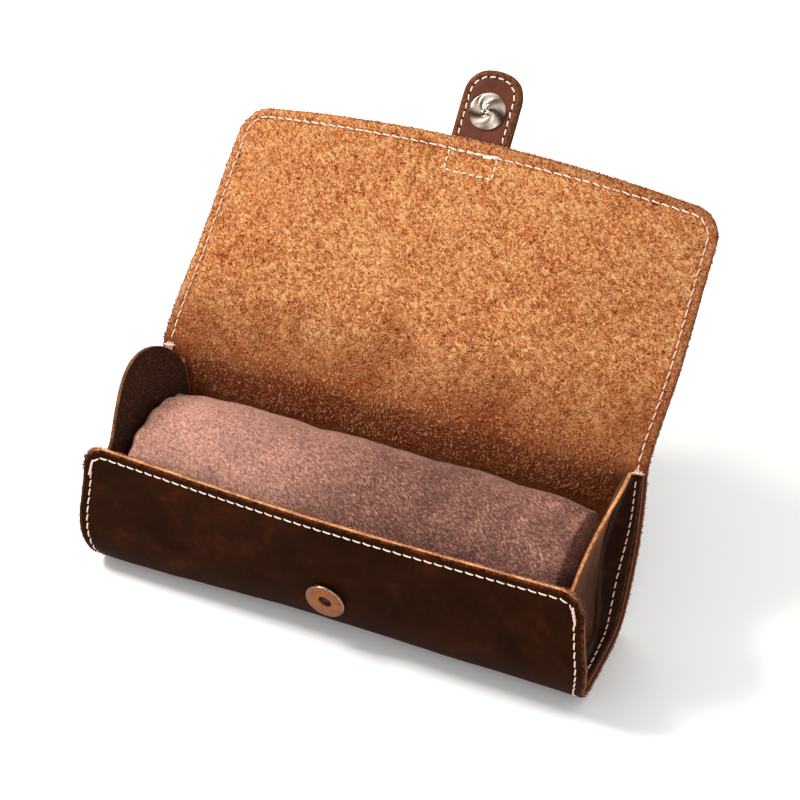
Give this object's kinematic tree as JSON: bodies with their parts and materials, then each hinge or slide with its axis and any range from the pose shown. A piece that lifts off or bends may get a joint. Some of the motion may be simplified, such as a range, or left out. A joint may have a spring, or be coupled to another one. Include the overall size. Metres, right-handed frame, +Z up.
{
  "type": "watch roll case",
  "caption": "Leather roll case that holds watches on a removable cushion, with end panels, a flap lid and a strap that shuts on a magnetic snap.",
  "frame": {"origin": "centre of the underside, where the case rests", "axes": "+X along the case's length, -Y to the front wall with the snap socket, +Z up"},
  "size_m": [0.21, 0.1727, 0.1692],
  "materials": {
    "wrap_leather": "satin",
    "panel_leather": "satin",
    "strap_leather": "satin",
    "thread": "matte",
    "cushion_cloth": "matte",
    "foam": "matte",
    "core_tube": "matte",
    "board": "matte",
    "nickel": "satin",
    "copper_plate": "satin",
    "magnet": "satin"
  },
  "bodies": {
    "base": {"shell_wrap": "wrap_leather", "front_hem_thread": "thread", "side_seam_thread_left": "thread", "side_seam_thread_right": "thread", "end_panel_left": "panel_leather", "end_panel_right": "panel_leather", "cushion_cover": "cushion_cloth", "cushion_foam": "foam", "cushion_core_tube": "core_tube", "cushion_end_disc_left": "board", "cushion_end_disc_right": "board", "snap_socket_housing": "nickel", "snap_socket_magnet": "magnet", "snap_socket_face": "copper_plate", "snap_socket_washer": "nickel"},
    "lid_1": {"lid_strip_1": "wrap_leather", "lid_thread_left_1": "thread", "lid_thread_right_1": "thread"},
    "lid_2": {"lid_strip_2": "wrap_leather", "lid_thread_left_2": "thread", "lid_thread_right_2": "thread"},
    "lid_3": {"lid_strip_3": "wrap_leather", "lid_thread_left_3": "thread", "lid_thread_right_3": "thread"},
    "lid_4": {"lid_strip_4": "wrap_leather", "lid_thread_left_4": "thread", "lid_thread_right_4": "thread"},
    "lid_5": {"lid_strip_5": "wrap_leather", "lid_thread_left_5": "thread", "lid_thread_right_5": "thread"},
    "lid_6": {"lid_strip_6": "wrap_leather", "lid_thread_left_6": "thread", "lid_thread_right_6": "thread"},
    "lid_7": {"lid_strip_7": "wrap_leather", "lid_edge_thread": "thread", "strap_box_thread": "thread", "strap_root_lining": "strap_leather", "strap_root_outer": "strap_leather"},
    "strap": {"strap_lining": "strap_leather", "strap_outer": "strap_leather", "strap_thread": "thread", "snap_stud": "nickel", "snap_stud_plate": "nickel"}
  },
  "joints": [
    {"name": "lid_fold", "type": "hinge", "parent": "base", "child": "lid_1", "pos_m": [0, 0.0358, 0.0695], "axis": [1, 0, 0], "range_deg": [-25, 87.5]},
    {"name": "lid_curl_2", "type": "hinge", "parent": "lid_1", "child": "lid_2", "pos_m": [0, 0.04557, 0.0798], "axis": [1, 0, 0], "range_deg": [-7.5, 22.5]},
    {"name": "lid_curl_3", "type": "hinge", "parent": "lid_2", "child": "lid_3", "pos_m": [0, 0.05535, 0.0901], "axis": [1, 0, 0], "range_deg": [-7.5, 22.5]},
    {"name": "lid_curl_4", "type": "hinge", "parent": "lid_3", "child": "lid_4", "pos_m": [0, 0.06512, 0.1004], "axis": [1, 0, 0], "range_deg": [-7.5, 22.5]},
    {"name": "lid_curl_5", "type": "hinge", "parent": "lid_4", "child": "lid_5", "pos_m": [0, 0.0749, 0.1107], "axis": [1, 0, 0], "range_deg": [-7.5, 22.5]},
    {"name": "lid_curl_6", "type": "hinge", "parent": "lid_5", "child": "lid_6", "pos_m": [0, 0.08467, 0.121], "axis": [1, 0, 0], "range_deg": [-8.07, 24.5]},
    {"name": "lid_curl_7", "type": "hinge", "parent": "lid_6", "child": "lid_7", "pos_m": [0, 0.09445, 0.1313], "axis": [1, 0, 0], "range_deg": [-8.36, 25.5]},
    {"name": "strap_flex", "type": "hinge", "parent": "lid_7", "child": "strap", "pos_m": [0, 0.11559, 0.14515], "axis": [1, 0, 0], "range_deg": [-70, 3.5]}
  ],
  "couplings": [
    {"joint": "lid_curl_2", "follows": "lid_fold", "ratio": 0.24},
    {"joint": "lid_curl_3", "follows": "lid_fold", "ratio": 0.24},
    {"joint": "lid_curl_4", "follows": "lid_fold", "ratio": 0.24},
    {"joint": "lid_curl_5", "follows": "lid_fold", "ratio": 0.24},
    {"joint": "lid_curl_6", "follows": "lid_fold", "ratio": 0.26286},
    {"joint": "lid_curl_7", "follows": "lid_fold", "ratio": 0.27429}
  ]
}
